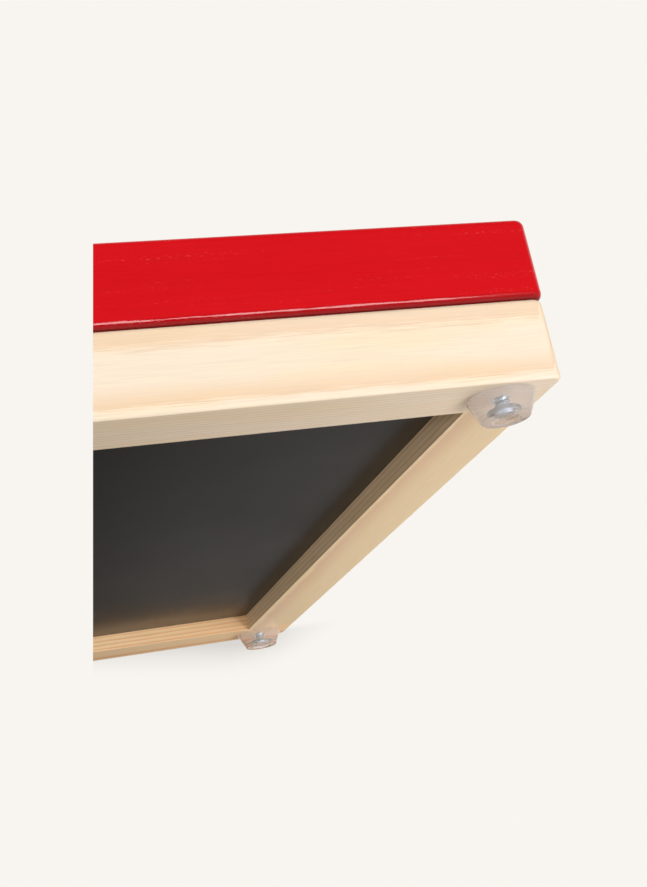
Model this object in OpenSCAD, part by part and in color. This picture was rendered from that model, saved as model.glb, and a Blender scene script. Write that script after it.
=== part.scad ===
// Small box springboard: a pine base frame on clear screw-on feet, a red
// upper frame whose inner rebate traps a floating deck, and eight
// compression springs between the two.
// +X runs along the board, +Y to the back, +Z up. The origin is on the
// floor under the middle of the board.

/* [Frames] */
// Length of the base frame, left to right
frame_l = 600; // [440:10:900]
// Depth of both frames, front to back
frame_d = 378; // [320:2:500]
// Width of every rail, seen from above
rail_w = 25.5; // [24:0.5:40]
// Height of the base rails
base_h = 28; // [26:1:40]
// Height of the upper rails
top_h = 29; // [28:1:40]
// How much longer the upper frame is at each end
top_over = 1; // [0:0.2:4]
// Radius of the outer corners, seen from above
corner_r = 4; // [3.5:0.5:8]
// Rounding of the upper frame's outer edges
top_edge_r = 2.5; // [1:0.25:3]
// Rounding of the base frame's upper outer edges
base_edge_r = 2; // [1:0.25:3]
// Rounding of the base frame's lower outer edges
foot_edge_r = 1; // [0.5:0.25:2.5]

/* [Bottom panel] */
// How far the bottom panel sits up inside the base frame
panel_recess = 8; // [5:0.5:10]
// Thickness of the bottom panel
panel_t = 6; // [3:0.5:7]
// Depth of the groove that holds the bottom panel
groove_depth = 6.5; // [4:0.5:8]
// Play of the bottom panel in its groove, on each side
panel_play = 0.5; // [0.2:0.1:1]

/* [Deck] */
// Thickness of the deck's plywood
deck_t = 15; // [14:0.5:18]
// Thickness of the tongue that runs under the lip
tongue_t = 7; // [6:0.5:9]
// Thickness of the upper frame's lip
lip_t = 8; // [7:0.5:11]
// How far the lip's inner edge is eased
lip_ease = 1; // [0.5:0.25:2]
// Depth of the rebate behind the lip
rebate_w = 10; // [7:0.5:12]
// Running gap all round the deck
deck_gap = 2; // [1:0.25:4]
// Plan radius of the rebate's corners
rebate_r = 6; // [3:0.5:10]
// How far the deck sinks before it meets its buffers
travel = 10; // [5:0.5:11]
// Gap that is left at each end of the travel
rest_gap = 0.3; // [0.2:0.1:0.5]
// Thickness of the foam strips on the tongue
strip_t = 1.7; // [1:0.1:2.5]
// Width of the foam strips
strip_w = 6; // [4:0.5:7]

/* [Mat] */
// Width of bare plywood round the mat
mat_border = 9; // [4:1:25]
// Thickness of the mat under its ribs
mat_base = 2; // [1:0.25:3]
// Height of the mat's ribs
rib_h = 1.5; // [0.5:0.25:2]
// Distance from rib to rib
rib_pitch = 6; // [5:0.5:12]
// Width of a rib at its foot
rib_w = 3.6; // [2:0.2:4.2]
// Plan radius of the mat's corners
mat_r = 10; // [4:1:20]

/* [Springs] */
// Wire of the springs
wire_d = 2.5; // [1.5:0.1:2.5]
// Diameter of a spring, wire centre to wire centre
coil_d = 24; // [16:0.5:28]
// Turns that work in each spring
active_turns = 3.5; // [3:0.5:3.5]
// Depth of the spring pockets in the deck
deck_pocket = 8; // [5:0.5:9]
// Depth of the spring pockets in the bearers
bearer_pocket = 2.5; // [1:0.5:4]
// Play round a spring in its pockets
spring_play = 1.2; // [0.8:0.1:2]
// Distance of each row of springs from the board's centre line
spring_row = 95; // [60:5:105]

/* [Bearers] */
// Width of the bearers that carry the springs
bearer_w = 64; // [44:1:80]
// Thickness of the bearers
bearer_t = 11; // [9:0.5:12]
// Length of bearer that is let into each rail
housing = 7; // [4:0.5:8]
// Play of a bearer in its housing, on each side
housing_play = 0.3; // [0.1:0.1:0.6]

/* [Buffers] */
// Diameter of a rubber buffer's head
buffer_d = 20; // [14:1:26]
// Diameter of a buffer's stem
buffer_stem_d = 8; // [5:0.5:10]
// Length of a buffer's stem
buffer_stem = 8; // [5:0.5:8.5]
// Distance of the outer buffers from the board's centre line
buffer_row = 136; // [124:1:137]

/* [Dowels] */
// Diameter of every dowel
dowel_d = 6; // [4:0.5:8]
// Length of a corner dowel
corner_dowel = 36; // [24:1:40]
// Length of a dowel between the two frames
frame_dowel = 30; // [20:1:36]
// Distance from a rail's outer face to its dowels
dowel_inset = 8; // [6:0.5:9]
// Height from one corner dowel to the other
dowel_step = 14; // [10:0.5:14]
// Distance from a frame's end to its first upright dowel
dowel_end = 62; // [50:1:90]
// Free space at each end of a dowel
dowel_end_play = 1; // [0.5:0.25:2]
// Chamfer on a dowel's ends
dowel_chamfer = 1; // [0.25:0.25:1.5]

/* [Feet] */
// Height of the feet
foot_h = 8; // [6:0.5:14]
// Diameter of a foot against the wood
foot_top_d = 23; // [18:0.5:24]
// Diameter of a foot on the floor
foot_tip_d = 16.2; // [13:0.2:18]
// Distance from a foot's centre to the frame's end
foot_inset_x = 17; // [14.5:0.5:22]
// Distance from a foot's centre to the front or back
foot_inset_y = 13.5; // [12:0.5:16]
// Depth of the counterbore that hides the screw head
foot_bore = 4.5; // [3.5:0.25:5]
// Diameter of a foot screw's head
screw_head_d = 8; // [6:0.2:9]
// Height of a foot screw's head
screw_head = 2.6; // [1.6:0.2:3]
// Diameter of a foot screw's shank
screw_d = 4; // [3:0.1:4.5]
// Length of a foot screw under its head
screw_l = 16; // [12:1:20]

/* [Hidden] */
$fn = 64;
// Fit of a pin in its hole, all round
fit = 0.05;
// Play of a screw in a foot, all round
foot_play = 0.15;
// Play of a screw head in its counterbore, all round
head_play = 0.8;
// Room over the bottom panel in its groove
groove_play = 0.2;
// Overrun of every cutter past the face it opens
over = 1;
// Rounding of a foot's rim
rim_r = 0.8;
// Rounding of a buffer's head
buffer_round = 1.5;
// Plan radius of the corners of the deck's raised field
field_r = 3;
// Gap between a spring's end turn and the turn next to it
coil_gap = 0.1;

// Heights above the floor
z_base = foot_h;
z_panel = z_base + panel_recess;
z_bearer = z_panel + panel_t;
z_bearer_top = z_bearer + bearer_t;
z_top = z_base + base_h;
z_rim = z_top + top_h;
z_lip = z_rim - lip_t;
z_ledge = z_lip - rest_gap - strip_t;
z_deck = z_ledge - tongue_t;
z_deck_top = z_deck + deck_t;
z_buffer = z_deck - travel - rest_gap;
z_spring = z_bearer_top - bearer_pocket;
z_spring_top = z_deck + deck_pocket;

// Plan sizes
top_l = frame_l + 2 * top_over;
hole_l = top_l - 2 * rail_w;
hole_d = frame_d - 2 * rail_w;
field_l = hole_l - 2 * deck_gap;
field_d = hole_d - 2 * deck_gap;
tongue_l = hole_l + 2 * rebate_w - 2 * deck_gap;
tongue_d = hole_d + 2 * rebate_w - 2 * deck_gap;
mat_l = field_l - 2 * mat_border;
mat_d = field_d - 2 * mat_border;
pocket_d = coil_d + wire_d + 2 * spring_play;

// Bearers stand at equal steps along the base frame's opening
base_hole_l = frame_l - 2 * rail_w;
bearer_step = base_hole_l / 4;
bearer_x = [for (i = [-1.5:1:1.5]) i * bearer_step];
bearer_l = hole_d + 2 * housing;

// Springs, front row first
spring_xy = [for (side = [-1, 1]) for (x = bearer_x) [x, side * spring_row]];

// Buffers: four near the corners and two in the middle
buffer_xy = [
    for (x = [bearer_x[0], bearer_x[3]]) for (side = [-1, 1]) [x, side * buffer_row],
    for (x = [bearer_x[1], bearer_x[2]]) [x, 0]
];

foot_x = frame_l / 2 - foot_inset_x;
foot_y = frame_d / 2 - foot_inset_y;
// Plastic left between a foot screw's head and the wood
foot_web = foot_h - foot_bore;

// Turns of a spring: one closed turn at each end of the working ones
end_turns = 1;
spring_turns = active_turns + 2 * end_turns;
end_pitch = wire_d + coil_gap;
// Rings of points in each turn, and points round the wire
ring_steps = 12;
wire_sides = 8;
spring_rings = spring_turns * ring_steps;

// ---------- shared shapes ----------

// Rectangle with true round corners, on its centre
module round_rect(l, d, r) {
    square([l - 2 * r, d], center = true);
    square([l, d - 2 * r], center = true);
    for (x = [-1, 1], y = [-1, 1])
        translate([x * (l / 2 - r), y * (d / 2 - r)]) circle(r);
}

module round_slab(l, d, h, r) {
    linear_extrude(h) round_rect(l, d, r);
}

// Section of a rail, w wide and h high: its inner face at x = 0, and the
// two edges of its outer face rounded
module rail_section(w, h, low_r, high_r) {
    intersection() {
        square([w, h]);
        union() {
            translate([0, low_r]) square([w, h - low_r - high_r]);
            square([w - low_r, h / 2]);
            translate([0, h / 2]) square([w - high_r, h / 2]);
            translate([w - low_r, low_r]) circle(low_r);
            translate([w - high_r, h - high_r]) circle(high_r);
        }
    }
}

// Rail that runs through from corner to corner at the front: a straight
// run, and at each end a turned corner and a stub along the side face
module long_rail(l, h, low_r, high_r) {
    half = l / 2 - corner_r;
    front = -frame_d / 2;
    translate([half, front + rail_w, 0])
        rotate([90, 0, -90])
            linear_extrude(2 * half) rail_section(rail_w, h, low_r, high_r);
    for (side = [0, 1])
        mirror([side, 0, 0])
            translate([-half, front + corner_r, 0]) {
                rotate([90, 0, 180])
                    linear_extrude(rail_w - corner_r)
                        rail_section(corner_r, h, low_r, high_r);
                rotate([0, 0, 180])
                    rotate_extrude(angle = 90)
                        rail_section(corner_r, h, low_r, high_r);
            }
}

// Rail that stands between the long rails, on the left
module side_rail(l, h, low_r, high_r) {
    translate([rail_w - l / 2, rail_w - frame_d / 2, 0])
        rotate([90, 0, 180])
            linear_extrude(frame_d - 2 * rail_w) rail_section(rail_w, h, low_r, high_r);
}

// Places its children at the corner joints of one frame, along Y and
// across the joint, two to a corner
module at_corners(l, z_mid) {
    for (x = [-1, 1], y = [-1, 1], up = [-0.5, 0.5])
        translate([x * (l / 2 - dowel_inset), y * (frame_d / 2 - rail_w),
                   z_mid + up * dowel_step])
            rotate([90, 0, 0]) children();
}

// Places its children upright between the two frames, four to a long rail
// and two to a side rail
module at_frame_joint() {
    long_x = frame_l / 2 - dowel_end;
    side_y = (frame_d / 2 - dowel_end) / 2;
    for (y = [-1, 1], x = [-1, -1 / 3, 1 / 3, 1])
        translate([x * long_x, y * (frame_d / 2 - dowel_inset), z_top]) children();
    for (x = [-1, 1], y = [-1, 1])
        translate([x * (frame_l / 2 - dowel_inset), y * side_y, z_top]) children();
}

// Dowel with chamfered ends, on its centre
module dowel(len) {
    r = dowel_d / 2;
    end = len / 2;
    rotate_extrude()
        polygon([[0, -end], [r - dowel_chamfer, -end], [r, dowel_chamfer - end],
                 [r, end - dowel_chamfer], [r - dowel_chamfer, end], [0, end]]);
}

module dowel_hole(len) {
    cylinder(r = dowel_d / 2 + fit, h = len + 2 * dowel_end_play, center = true);
}

// ---------- base frame ----------

// What is cut from the base rails: opening, panel groove, bearer housings,
// dowel holes and pilot holes for the foot screws
module base_cuts() {
    translate([-base_hole_l / 2, -hole_d / 2, z_base - over])
        cube([base_hole_l, hole_d, base_h + 2 * over]);
    translate([-base_hole_l / 2 - groove_depth, -hole_d / 2 - groove_depth, z_panel])
        cube([base_hole_l + 2 * groove_depth, hole_d + 2 * groove_depth,
              panel_t + groove_play]);
    for (x = bearer_x)
        translate([x - bearer_w / 2 - housing_play,
                   -bearer_l / 2 - housing_play, z_bearer])
            cube([bearer_w + 2 * housing_play, bearer_l + 2 * housing_play,
                  z_top - z_bearer + over]);
    at_corners(frame_l, z_base + base_h / 2) dowel_hole(corner_dowel);
    at_frame_joint() dowel_hole(frame_dowel);
    for (x = [-1, 1], y = [-1, 1])
        translate([x * foot_x, y * foot_y, z_base - over])
            cylinder(r = screw_d / 2 + fit, h = screw_l - foot_web + 2 * over);
}

// A base rail: turn is 0 for the front or left one, 180 for its opposite
module base_rail(long, turn) {
    color("burlywood")
        difference() {
            translate([0, 0, z_base])
                rotate([0, 0, turn])
                    if (long) long_rail(frame_l, base_h, foot_edge_r, base_edge_r);
                    else side_rail(frame_l, base_h, foot_edge_r, base_edge_r);
            base_cuts();
        }
}

module bottom_panel() {
    size_l = base_hole_l + 2 * (groove_depth - panel_play);
    size_d = hole_d + 2 * (groove_depth - panel_play);
    color("#2b2a29")
        translate([-size_l / 2, -size_d / 2, z_panel])
            cube([size_l, size_d, panel_t]);
}

module spring_bearer(i) {
    x = bearer_x[i];
    color("wheat")
        difference() {
            translate([x - bearer_w / 2, -bearer_l / 2, z_bearer])
                cube([bearer_w, bearer_l, bearer_t]);
            for (side = [-1, 1])
                translate([x, side * spring_row, z_spring])
                    cylinder(d = pocket_d, h = bearer_pocket + over);
            for (p = buffer_xy)
                translate([p[0], p[1], z_bearer_top - buffer_stem - dowel_end_play])
                    cylinder(r = buffer_stem_d / 2 + fit,
                             h = buffer_stem + dowel_end_play + over);
        }
}

// ---------- upper frame ----------

// What is cut from the upper rails: opening with its upper edge eased,
// rebate and dowel holes. The rebate is one pocket with round corners, run
// round the whole frame.
module top_cuts() {
    translate([-hole_l / 2, -hole_d / 2, z_top - over])
        cube([hole_l, hole_d, top_h + 2 * over]);
    for (turn = [0, 180]) {
        rotate([0, 0, turn]) translate([0, -hole_d / 2, z_rim]) edge_cutter(hole_l);
        rotate([0, 0, turn + 90]) translate([0, -hole_l / 2, z_rim]) edge_cutter(hole_d);
    }
    translate([0, 0, z_top - over])
        round_slab(hole_l + 2 * rebate_w, hole_d + 2 * rebate_w,
                   z_lip - z_top + over, rebate_r);
    at_corners(top_l, z_top + top_h / 2) dowel_hole(corner_dowel);
    at_frame_joint() dowel_hole(frame_dowel);
}

// Square bar set on its corner, to take an edge off along X
module edge_cutter(len) {
    side = lip_ease * sqrt(2);
    rotate([45, 0, 0]) cube([len, side, side], center = true);
}

module top_rail(long, turn) {
    color("#d31019")
        difference() {
            translate([0, 0, z_top])
                rotate([0, 0, turn])
                    if (long) long_rail(top_l, top_h, top_edge_r, top_edge_r);
                    else side_rail(top_l, top_h, top_edge_r, top_edge_r);
            top_cuts();
        }
}

// ---------- dowels ----------

module base_corner_dowels() {
    color("tan") at_corners(frame_l, z_base + base_h / 2) dowel(corner_dowel);
}

module top_corner_dowels() {
    color("tan") at_corners(top_l, z_top + top_h / 2) dowel(corner_dowel);
}

module frame_dowels() {
    color("tan") at_frame_joint() dowel(frame_dowel);
}

// ---------- feet ----------

// A clear foot: a cone with a rounded rim, a screw hole and a counterbore
module foot(x, y) {
    hole_r = screw_d / 2 + foot_play;
    bore_r = screw_head_d / 2 + head_play;
    color([0.85, 0.85, 0.86, 0.5])
        translate([x * foot_x, y * foot_y, 0])
            difference() {
                rotate_extrude() {
                    polygon([[0, 0], [foot_tip_d / 2 - rim_r, 0],
                             [foot_tip_d / 2, rim_r],
                             [foot_top_d / 2, foot_h - rim_r],
                             [foot_top_d / 2, foot_h], [0, foot_h]]);
                    translate([foot_tip_d / 2 - rim_r, rim_r]) circle(rim_r);
                }
                translate([0, 0, -over]) cylinder(r = hole_r, h = foot_h + 2 * over);
                translate([0, 0, -over]) cylinder(r = bore_r, h = foot_bore + over);
            }
}

// Pan-head screw with a cross recess, its head down in the foot
module foot_screw() {
    dome_r = screw_head * 0.6;
    slot_w = screw_head_d * 0.14;
    slot_l = screw_head_d * 0.55;
    slot_h = screw_head * 0.6;
    tip_l = screw_d;
    difference() {
        rotate_extrude()
            intersection() {
                union() {
                    square([screw_head_d / 2 - dome_r, screw_head]);
                    translate([0, dome_r]) square([screw_head_d / 2, screw_head]);
                    translate([screw_head_d / 2 - dome_r, dome_r]) circle(dome_r);
                }
                square([screw_head_d, screw_head]);
            }
        for (a = [0, 90])
            rotate([0, 0, a])
                translate([-slot_l / 2, -slot_w / 2, -over])
                    cube([slot_l, slot_w, slot_h + over]);
    }
    translate([0, 0, screw_head])
        cylinder(d = screw_d, h = screw_l - tip_l);
    translate([0, 0, screw_head + screw_l - tip_l])
        cylinder(d1 = screw_d, d2 = screw_d * 0.2, h = tip_l);
}

module foot_screws() {
    color("silver")
        for (x = [-1, 1], y = [-1, 1])
            translate([x * foot_x, y * foot_y, foot_bore - screw_head])
                foot_screw();
}

// ---------- springs and buffers ----------

// Height of the wire's centre after t turns of a spring: it climbs little
// more than one wire in each end turn, and evenly over the turns between
function wire_rise(t, length) =
    let (open_rise = length - 2 * end_turns * end_pitch)
    t < end_turns ? end_pitch * t
    : t < end_turns + active_turns
        ? end_pitch * end_turns + open_rise * (t - end_turns) / active_turns
    : length - end_pitch * (spring_turns - t);

// Compression spring with closed and ground ends: rings of points round
// the wire's path, then cut flat by the two planes that it stands between
module spring(p) {
    length = z_spring_top - z_spring;
    points = [
        for (k = [0:spring_rings])
            let (t = k / ring_steps, a = 360 * t)
            for (j = [0:wire_sides - 1])
                let (b = 360 * j / wire_sides,
                     r = coil_d / 2 + wire_d / 2 * cos(b),
                     z = wire_rise(t, length) + wire_d / 2 * sin(b))
                [r * cos(a), r * sin(a), z]
    ];
    sides = [
        for (k = [0:spring_rings - 1], j = [0:wire_sides - 1])
            let (n = (j + 1) % wire_sides, a = k * wire_sides, b = a + wire_sides)
            [a + j, b + j, b + n, a + n]
    ];
    last = spring_rings * wire_sides;
    caps = [
        [for (j = [0:wire_sides - 1]) j],
        [for (j = [wire_sides - 1:-1:0]) last + j]
    ];
    color("lightsteelblue")
        translate([p[0], p[1], z_spring])
            intersection() {
                polyhedron(points, concat(sides, caps), convexity = 6);
                translate([-coil_d, -coil_d, 0]) cube([2 * coil_d, 2 * coil_d, length]);
            }
}

// Push-in rubber buffers: a domed head on the bearer and a stem in it
module rubber_buffers() {
    head_h = z_buffer - z_bearer_top;
    round_r = min(buffer_round, head_h / 2);
    color("#333333")
        for (p = buffer_xy)
            translate([p[0], p[1], z_bearer_top]) {
                rotate_extrude() {
                    square([buffer_d / 2, head_h - round_r]);
                    square([buffer_d / 2 - round_r, head_h]);
                    translate([buffer_d / 2 - round_r, head_h - round_r])
                        circle(round_r);
                }
                translate([0, 0, -buffer_stem])
                    cylinder(d = buffer_stem_d, h = buffer_stem);
            }
}

// ---------- deck ----------

module deck_board() {
    tongue_r = rebate_r + deck_gap;
    color("navajowhite")
        difference() {
            union() {
                translate([0, 0, z_deck])
                    round_slab(tongue_l, tongue_d, tongue_t, tongue_r);
                translate([0, 0, z_deck])
                    round_slab(field_l, field_d, deck_t, field_r);
            }
            for (p = spring_xy)
                translate([p[0], p[1], z_deck - over])
                    cylinder(d = pocket_d, h = deck_pocket + over);
        }
}

// Ribbed mat: its section across the ribs, run along the board and cut to
// a round-cornered sheet
module deck_mat() {
    ribs = floor((mat_d - rib_w) / rib_pitch);
    first = -ribs * rib_pitch / 2;
    slope = rib_h / 3;
    section = concat(
        [[mat_d / 2, 0], [mat_d / 2, mat_base]],
        [for (i = [ribs:-1:0])
            let (y = first + i * rib_pitch)
            each [[y + rib_w / 2, mat_base], [y + rib_w / 2 - slope, mat_base + rib_h],
                  [y - rib_w / 2 + slope, mat_base + rib_h], [y - rib_w / 2, mat_base]]],
        [[-mat_d / 2, mat_base], [-mat_d / 2, 0]]
    );
    color("#3a3a3c")
        intersection() {
            translate([-mat_l / 2, 0, z_deck_top])
                rotate([90, 0, 90]) linear_extrude(mat_l) polygon(section);
            translate([0, 0, z_deck_top])
                round_slab(mat_l, mat_d, mat_base + rib_h, mat_r);
        }
}

// Foam strips on the four ledges of the tongue, under the lip
module rebound_strips() {
    ledge = rebate_w;
    off_x = (field_l + ledge) / 2;
    off_y = (field_d + ledge) / 2;
    run_x = field_l - 2 * ledge;
    run_y = field_d - 2 * ledge;
    color("dimgray")
        translate([0, 0, z_ledge])
            for (s = [-1, 1]) {
                translate([-run_x / 2, s * off_y - strip_w / 2, 0])
                    cube([run_x, strip_w, strip_t]);
                translate([s * off_x - strip_w / 2, -run_y / 2, 0])
                    cube([strip_w, run_y, strip_t]);
            }
}

base_rail(true, 0);  // front_base_rail
base_rail(true, 180);  // back_base_rail
base_rail(false, 0);  // left_base_rail
base_rail(false, 180);  // right_base_rail
bottom_panel();
spring_bearer(0);  // spring_bearer_1
spring_bearer(1);  // spring_bearer_2
spring_bearer(2);  // spring_bearer_3
spring_bearer(3);  // spring_bearer_4
top_rail(true, 0);  // front_top_rail
top_rail(true, 180);  // back_top_rail
top_rail(false, 0);  // left_top_rail
top_rail(false, 180);  // right_top_rail
base_corner_dowels();
top_corner_dowels();
frame_dowels();
rubber_buffers();
foot(-1, -1);  // foot_front_left
foot(1, -1);  // foot_front_right
foot(-1, 1);  // foot_back_left
foot(1, 1);  // foot_back_right
foot_screws();
spring(spring_xy[0]);  // spring_1
spring(spring_xy[1]);  // spring_2
spring(spring_xy[2]);  // spring_3
spring(spring_xy[3]);  // spring_4
spring(spring_xy[4]);  // spring_5
spring(spring_xy[5]);  // spring_6
spring(spring_xy[6]);  // spring_7
spring(spring_xy[7]);  // spring_8
deck_board();
deck_mat();
rebound_strips();
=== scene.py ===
"""Looks of a small box springboard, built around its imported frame.

The frame's own solids keep their shape and get their finishes here. Springs,
feet, foot screws and the ribbed mat are made anew as computed surfaces.
"""

import bmesh
import bpy
import numpy as np
from mathutils import Euler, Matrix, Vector


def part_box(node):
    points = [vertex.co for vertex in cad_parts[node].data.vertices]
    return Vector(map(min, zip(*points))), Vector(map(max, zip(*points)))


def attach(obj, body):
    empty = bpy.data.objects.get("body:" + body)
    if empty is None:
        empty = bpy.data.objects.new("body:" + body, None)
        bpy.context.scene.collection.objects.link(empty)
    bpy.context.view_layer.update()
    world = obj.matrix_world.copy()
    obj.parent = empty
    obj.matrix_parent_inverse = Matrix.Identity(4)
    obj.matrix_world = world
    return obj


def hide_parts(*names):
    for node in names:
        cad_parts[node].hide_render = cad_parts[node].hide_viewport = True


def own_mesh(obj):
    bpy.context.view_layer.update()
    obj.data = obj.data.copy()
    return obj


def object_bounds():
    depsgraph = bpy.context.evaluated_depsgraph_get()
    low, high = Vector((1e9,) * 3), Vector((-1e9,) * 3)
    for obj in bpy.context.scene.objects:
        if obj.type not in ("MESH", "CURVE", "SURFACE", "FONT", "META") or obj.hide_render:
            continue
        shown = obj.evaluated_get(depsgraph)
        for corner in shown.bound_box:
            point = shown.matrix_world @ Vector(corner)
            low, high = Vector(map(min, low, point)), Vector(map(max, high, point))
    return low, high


bl_info = {
    "name": "Box springboard",
    "version": (1, 0, 0),
    "blender": (4, 5, 0),
    "location": "3D View > Sidebar > Springboard",
    "description": "Makes the finishes and the fine pieces of a box springboard",
    "category": "Object",
}

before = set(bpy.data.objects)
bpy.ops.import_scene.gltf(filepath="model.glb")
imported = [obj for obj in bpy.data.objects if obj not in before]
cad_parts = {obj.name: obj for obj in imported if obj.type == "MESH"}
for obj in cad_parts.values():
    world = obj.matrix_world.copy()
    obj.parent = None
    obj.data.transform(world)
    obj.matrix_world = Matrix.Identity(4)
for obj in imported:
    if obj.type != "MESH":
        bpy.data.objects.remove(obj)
CAD_BOX = [list(corner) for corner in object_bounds()]
PALE = "#F8F5F0"
BASE = "base"
DECK = "deck"
MM = 0.001
PER_MM = 1000.0
TURN = 2 * np.pi
# Turns a pattern that runs along X so that it runs along Y instead
ALONG_Y = -np.pi / 2
# A Mix node that mixes colours: its setting, the numbers of its inputs for the
# share and the two colours, and the number of its output
RGBA = {"data_type": "RGBA"}
SHARE, FIRST, SECOND, MIXED = 0, 6, 7, 2
# How many bearers and springs the frame has
BEARERS, SPRINGS = 4, 8
# Points round a foot or a screw, round a spring's wire and along one turn of it
AROUND, WIRE_AROUND, STEPS_A_TURN = 96, 16, 36
# Distances below which points are merged and edges closed up
WELD, NO_LENGTH = 2e-6, 1e-7
# The sensor's width in mm, and the view's width over its height
SENSOR, ASPECT = 36.0, 647 / 887

# ---------- colours, nodes and materials ----------


def linear(code):
    """An sRGB hex colour as linear red, green, blue and alpha."""
    s = np.array([int(code[i : i + 2], 16) for i in (1, 3, 5)]) / 255
    low = s / 12.92
    high = ((s + 0.055) / 1.055) ** 2.4
    return (*np.where(s <= 0.04045, low, high).tolist(), 1.0)


def add(tree, kind, inputs=(), out=0, stops=(), **settings):
    """Adds one shader node and gives back one of its outputs.

    inputs are values or other nodes' outputs, in the order of the sockets or
    by their names or numbers. For MapRange they are the value, the two ends
    that it comes from and the two that they become. stops are a colour ramp's
    places and colours, and the rest are the node's own settings.
    """
    node = tree.nodes.new("ShaderNode" + kind)
    for key, value in settings.items():
        setattr(node, key, value)
    pairs = inputs.items() if isinstance(inputs, dict) else enumerate(inputs)
    for key, value in pairs:
        if isinstance(value, bpy.types.NodeSocket):
            tree.links.new(value, node.inputs[key])
        else:
            node.inputs[key].default_value = value
    for place, _ in stops[2:]:
        node.color_ramp.elements.new(place)
    for i, (place, colour) in enumerate(stops):
        node.color_ramp.elements[i].position = place
        node.color_ramp.elements[i].color = colour
    return node.outputs[out] if node.outputs else None


def new_material(name, turn=0, shift=(0, 0, 0), **sockets):
    """A material with a Principled shader whose constant sockets are given by
    name, with underscores. Gives back the material, its tree, the shader's
    inputs, and the object's own place in mm, turned about Z so that the
    wood's length lies along X, then shifted."""
    material = bpy.data.materials.new(name)
    material.use_nodes = True
    tree = material.node_tree
    tree.nodes.clear()
    values = {key.replace("_", " "): value for key, value in sockets.items()}
    shader = add(tree, "BsdfPrincipled", values)
    add(tree, "OutputMaterial", [shader])
    at = add(tree, "TexCoord", out="Object")
    in_mm = (PER_MM, PER_MM, PER_MM)
    place = add(tree, "Mapping", [at, shift, (0, 0, turn), in_mm])
    return material, tree, shader.node.inputs, place


def grey(level):
    """A ramp colour that stands for a plain number."""
    return (level, level, level, 1.0)


def feed(tree, inputs, **links):
    """Links outputs to a shader's inputs, named with underscores."""
    for key, output in links.items():
        tree.links.new(output, inputs[key.replace("_", " ")])


def streaks(tree, place, along, across, **noise):
    """Noise drawn out along the wood: along and across say how many of its
    blotches come to a mm, so 0.05 and 2.5 make streaks of 20 by 0.4 mm."""
    counts = (along, across, across)
    at = add(tree, "VectorMath", [place, counts], operation="MULTIPLY")
    return add(tree, "TexNoise", {"Vector": at, "Scale": 1.0, **noise})


def pine(name, look, turn, shift, bend, tint):
    """Pine, planed, sanded and lacquered to a satin.

    Growth rings lie round a pith that runs along the rail, where shift brings
    the pattern's axis. The distance to it, bent a little by slow noise and
    frayed by the fibres, is counted in rings. In each the wood turns from
    cream to a warmer tone, slowly and then quickly, and the next starts cream
    again at once. A face that cuts them at a low angle shows a few broad soft
    bands, the face beside it fine lines, and the ends arcs. Fibres are fine
    noise drawn out along the rail, and end grain is darker.
    """
    cream, warm, sunny, end = (linear(code) for code in tint)
    material, tree, shader, place = new_material(
        name, turn, shift, Specular_IOR_Level=0.22
    )
    across = add(tree, "VectorMath", [place, (0, 1, 1)], operation="MULTIPLY")
    radius = add(tree, "VectorMath", [across], "Value", operation="LENGTH")
    wave = streaks(tree, place, 0.006, 0.05, Detail=3.0)
    fibre = streaks(tree, place, 0.05, 2.6, Detail=3.0, Roughness=0.7)
    bent = add(tree, "Math", [wave, bend, radius], operation="MULTIPLY_ADD")
    bent = add(tree, "Math", [fibre, bent], operation="ADD")
    # Half a mm, the fibres' mean, is taken off again
    count = 1 / look.ring_step / PER_MM
    ring = add(tree, "Math", [bent, count, -0.5 * count], operation="MULTIPLY_ADD")
    part = add(tree, "Math", [ring], operation="FRACT")
    growth = [(0, grey(0)), (0.5, grey(0.12)), (0.9, grey(1)), (1, grey(0))]
    ripe = add(tree, "ValToRGB", [part], stops=growth)
    # Some rings are strong and some can hardly be seen
    number = add(tree, "Math", [ring], operation="FLOOR")
    chance = add(tree, "TexWhiteNoise", {"W": number}, noise_dimensions="1D")
    weight = add(tree, "MapRange", [chance, 0.0, 1.0, 0.55, 0.95])
    band = add(tree, "Math", [ripe, weight], operation="MULTIPLY")
    cloud = streaks(tree, place, 0.012, 0.08)
    sun = add(tree, "MapRange", [cloud, 0.45, 0.75, 0.0, 0.6])
    # End grain shows where the surface faces along the rail
    normal = add(tree, "TexCoord", out="Normal")
    axis = (np.cos(turn), -np.sin(turn), 0)
    along = add(tree, "VectorMath", [normal, axis], "Value", operation="DOT_PRODUCT")
    ends = add(tree, "Math", [along], operation="ABSOLUTE")
    ends = add(tree, "MapRange", [ends, 0.35, 0.95, 0.0, 0.75])
    wood = add(tree, "Mix", {SHARE: sun, FIRST: cream, SECOND: sunny}, MIXED, **RGBA)
    wood = add(tree, "Mix", {SHARE: band, FIRST: wood, SECOND: warm}, MIXED, **RGBA)
    wood = add(tree, "Mix", {SHARE: ends, FIRST: wood, SECOND: end}, MIXED, **RGBA)
    fleck = add(tree, "MapRange", [fibre, 0.25, 0.75, 0.89, 1.06])
    wood = add(tree, "VectorMath", {0: wood, "Scale": fleck}, operation="SCALE")
    height = add(tree, "Math", [fibre, band], operation="SUBTRACT")
    bump = add(tree, "Bump", {"Strength": 0.25, "Distance": 0.05 * MM, "Height": height})
    gloss = add(tree, "MapRange", [fibre, 0.2, 0.8, 0.36, 0.5])
    feed(tree, shader, Base_Color=wood, Normal=bump, Roughness=gloss)
    return material


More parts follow.
